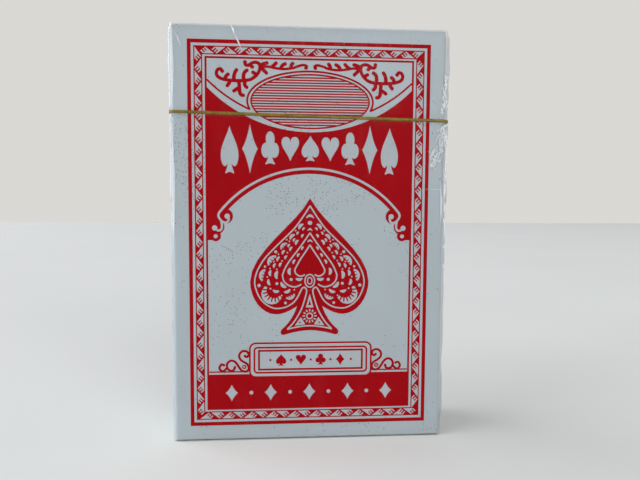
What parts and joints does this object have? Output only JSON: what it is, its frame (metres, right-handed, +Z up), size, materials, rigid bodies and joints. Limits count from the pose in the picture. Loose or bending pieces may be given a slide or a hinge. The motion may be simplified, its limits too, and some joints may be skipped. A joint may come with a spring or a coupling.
{
  "type": "playing card deck",
  "caption": "Sealed pack of playing cards: loose cards in a folded tuck carton with a printed front, inside a clear film wrap with a tear tape and pull tab",
  "frame": {"origin": "centre of the pack's footprint, on the face it stands on", "axes": "+Z up the height of the pack, the printed front panel faces -Y, +X to the right seen from the front"},
  "size_m": [0.0602, 0.018, 0.0906],
  "materials": {
    "carton_board": "satin",
    "card_stock": "satin",
    "clear_film": "gloss",
    "gold_tape": "gloss"
  },
  "bodies": {
    "carton": {"front_panel": "carton_board", "back_panel": "carton_board", "left_side_panel": "carton_board", "right_side_panel": "carton_board", "glue_flap": "carton_board", "bottom_panel": "carton_board", "bottom_inner_flap": "carton_board", "bottom_left_dust_flap": "carton_board", "bottom_right_dust_flap": "carton_board", "black_joker": "card_stock", "red_joker": "card_stock", "spade_ace": "card_stock", "spade_number_cards": "card_stock", "spade_jack": "card_stock", "spade_queen": "card_stock", "spade_king": "card_stock", "heart_ace": "card_stock", "heart_number_cards": "card_stock", "heart_jack": "card_stock", "heart_queen": "card_stock", "heart_king": "card_stock", "club_ace": "card_stock", "club_number_cards": "card_stock", "club_jack": "card_stock", "club_queen": "card_stock", "club_king": "card_stock", "diamond_ace": "card_stock", "diamond_number_cards": "card_stock", "diamond_jack": "card_stock", "diamond_queen": "card_stock", "diamond_king": "card_stock", "film_sleeve": "clear_film", "film_sleeve_seam": "clear_film", "film_bottom_tucks": "clear_film", "film_bottom_inner_fold": "clear_film", "film_bottom_outer_fold": "clear_film"},
    "film_cap": {"film_cap": "clear_film", "film_cap_seam": "clear_film", "film_top_tucks": "clear_film", "film_top_inner_fold": "clear_film", "film_top_outer_fold": "clear_film", "tear_tape": "gold_tape"},
    "pull_tab": {"pull_tab": "gold_tape"},
    "lid": {"lid": "carton_board"},
    "tuck_flap": {"tuck_flap": "carton_board"},
    "left_dust_flap": {"left_dust_flap": "carton_board"},
    "right_dust_flap": {"right_dust_flap": "carton_board"}
  },
  "joints": [
    {"name": "film_cap_lift", "type": "slide", "parent": "carton", "child": "film_cap", "axis": [0, 0, 1], "range_m": [0, 0.07]},
    {"name": "lid_fold", "type": "hinge", "parent": "carton", "child": "lid", "pos_m": [0, 0.0088, 0.0904], "axis": [-1, 0, 0], "range_deg": [0, 150]},
    {"name": "tuck_flap_fold", "type": "hinge", "parent": "lid", "child": "tuck_flap", "pos_m": [0, -0.00825, 0.0904], "axis": [-1, 0, 0], "range_deg": [0, 30], "deforming": ["tuck_flap"]},
    {"name": "left_dust_flap_fold", "type": "hinge", "parent": "carton", "child": "left_dust_flap", "pos_m": [-0.02975, 0, 0.08995], "axis": [0, -1, 0], "range_deg": [0, 70]},
    {"name": "right_dust_flap_fold", "type": "hinge", "parent": "carton", "child": "right_dust_flap", "pos_m": [0.02975, 0, 0.08995], "axis": [0, 1, 0], "range_deg": [0, 70]},
    {"name": "pull_tab_lift", "type": "hinge", "parent": "film_cap", "child": "pull_tab", "pos_m": [0.0211, 0.00896, 0.07161], "axis": [0, 0, -1], "range_deg": [0, 150]}
  ],
  "couplings": [
    {"joint": "lid_fold", "follows": "film_cap_lift", "rad_per_m": 37.399},
    {"joint": "tuck_flap_fold", "follows": "film_cap_lift", "rad_per_m": 7.479},
    {"joint": "left_dust_flap_fold", "follows": "film_cap_lift", "rad_per_m": 17.453},
    {"joint": "right_dust_flap_fold", "follows": "film_cap_lift", "rad_per_m": 17.453}
  ]
}
